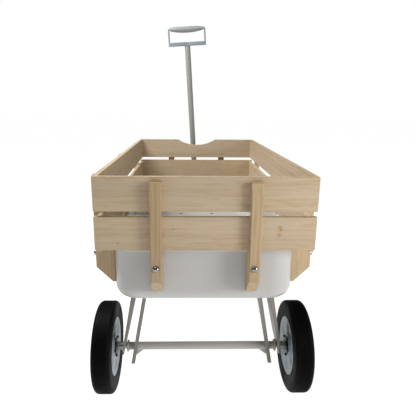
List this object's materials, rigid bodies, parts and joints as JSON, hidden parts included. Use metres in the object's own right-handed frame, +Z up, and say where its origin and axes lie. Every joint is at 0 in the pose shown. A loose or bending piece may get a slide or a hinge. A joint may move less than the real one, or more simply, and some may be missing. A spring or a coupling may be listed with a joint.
{
  "type": "pull wagon",
  "caption": "Pull wagon: pressed steel tub, slatted wooden sides on stakes, splayed steel carriages, turntable steering and a long handle with a closed grip.",
  "frame": {"origin": "on the ground, below the centre of the whole wagon's bounding box", "axes": "+X to the wagon's right, +Y towards the handle, +Z up"},
  "size_m": [0.6032, 1.1067, 1.1303],
  "materials": {
    "board_wood": "planed softwood, clear matt lacquer",
    "stake_wood": "planed softwood, clear matt lacquer",
    "tub_enamel": "satin off-white powder coat",
    "frame_paint": "satin warm grey powder coat",
    "wheel_paint": "satin blue-grey paint",
    "grip_frame": "satin blue-grey paint",
    "grip_plastic": "light grey moulded plastic",
    "tyre_rubber": "black moulded rubber",
    "chrome_plate": "bright chrome plate",
    "zinc_plate": "zinc-plated steel",
    "dark_steel": "blackened steel"
  },
  "bodies": {
    "root": {"board_screws": "zinc_plate", "floor_bolts": "dark_steel", "floor_nuts": "zinc_plate", "front_board_lower": "board_wood", "front_board_upper": "board_wood", "front_stake_left": "stake_wood", "front_stake_right": "stake_wood", "kingpin": "zinc_plate", "left_board_lower": "board_wood", "left_board_upper": "board_wood", "left_stake_front": "stake_wood", "left_stake_middle": "stake_wood", "left_stake_rear": "stake_wood", "rear_axle_collars": "frame_paint", "rear_axle_nuts": "zinc_plate", "rear_axle_rod": "zinc_plate", "rear_axle_tube": "frame_paint", "rear_board_lower": "board_wood", "rear_board_upper": "board_wood", "rear_braces": "frame_paint", "rear_frame": "frame_paint", "rear_stake_left": "stake_wood", "rear_stake_right": "stake_wood", "right_board_lower": "board_wood", "right_board_upper": "board_wood", "right_stake_front": "stake_wood", "right_stake_middle": "stake_wood", "right_stake_rear": "stake_wood", "stake_bolts": "chrome_plate", "stake_nuts": "zinc_plate", "tub": "tub_enamel", "turntable_upper": "frame_paint"},
    "front_carriage": {"turntable_lower": "frame_paint", "front_frame": "frame_paint", "front_braces": "frame_paint", "front_axle_tube": "frame_paint", "front_axle_rod": "zinc_plate", "front_axle_collars": "frame_paint", "front_axle_nuts": "zinc_plate", "drawbar": "frame_paint", "pivot_bolt": "zinc_plate", "pivot_nut": "zinc_plate"},
    "handle": {"handle_frame": "grip_frame", "handle_grip": "grip_plastic", "handle_rivet": "zinc_plate", "handle_shaft": "frame_paint", "handle_socket": "frame_paint", "handle_yoke": "frame_paint"},
    "front_wheel_left": {"front_wheel_left_bearings": "dark_steel", "front_wheel_left_rim": "wheel_paint", "front_wheel_left_tyre": "tyre_rubber"},
    "front_wheel_right": {"front_wheel_right_bearings": "dark_steel", "front_wheel_right_rim": "wheel_paint", "front_wheel_right_tyre": "tyre_rubber"},
    "rear_wheel_left": {"rear_wheel_left_bearings": "dark_steel", "rear_wheel_left_rim": "wheel_paint", "rear_wheel_left_tyre": "tyre_rubber"},
    "rear_wheel_right": {"rear_wheel_right_bearings": "dark_steel", "rear_wheel_right_rim": "wheel_paint", "rear_wheel_right_tyre": "tyre_rubber"}
  },
  "joints": [
    {"name": "steering", "type": "hinge", "parent": "root", "child": "front_carriage", "pos_m": [0, 0.30135, 0.305], "axis": [0, 0, 1], "range_deg": [-24, 24]},
    {"name": "handle_pivot", "type": "hinge", "parent": "front_carriage", "child": "handle", "pos_m": [0, 0.53735, 0.2], "axis": [-1, 0, 0], "range_deg": [0, 100]},
    {"name": "rear_left_spin", "type": "hinge", "parent": "root", "child": "rear_wheel_left", "pos_m": [-0.267, -0.37065, 0.127], "axis": [1, 0, 0], "continuous": true},
    {"name": "rear_right_spin", "type": "hinge", "parent": "root", "child": "rear_wheel_right", "pos_m": [0.267, -0.37065, 0.127], "axis": [1, 0, 0], "continuous": true},
    {"name": "front_left_spin", "type": "hinge", "parent": "front_carriage", "child": "front_wheel_left", "pos_m": [-0.267, 0.30135, 0.127], "axis": [1, 0, 0], "continuous": true},
    {"name": "front_right_spin", "type": "hinge", "parent": "front_carriage", "child": "front_wheel_right", "pos_m": [0.267, 0.30135, 0.127], "axis": [1, 0, 0], "continuous": true}
  ]
}
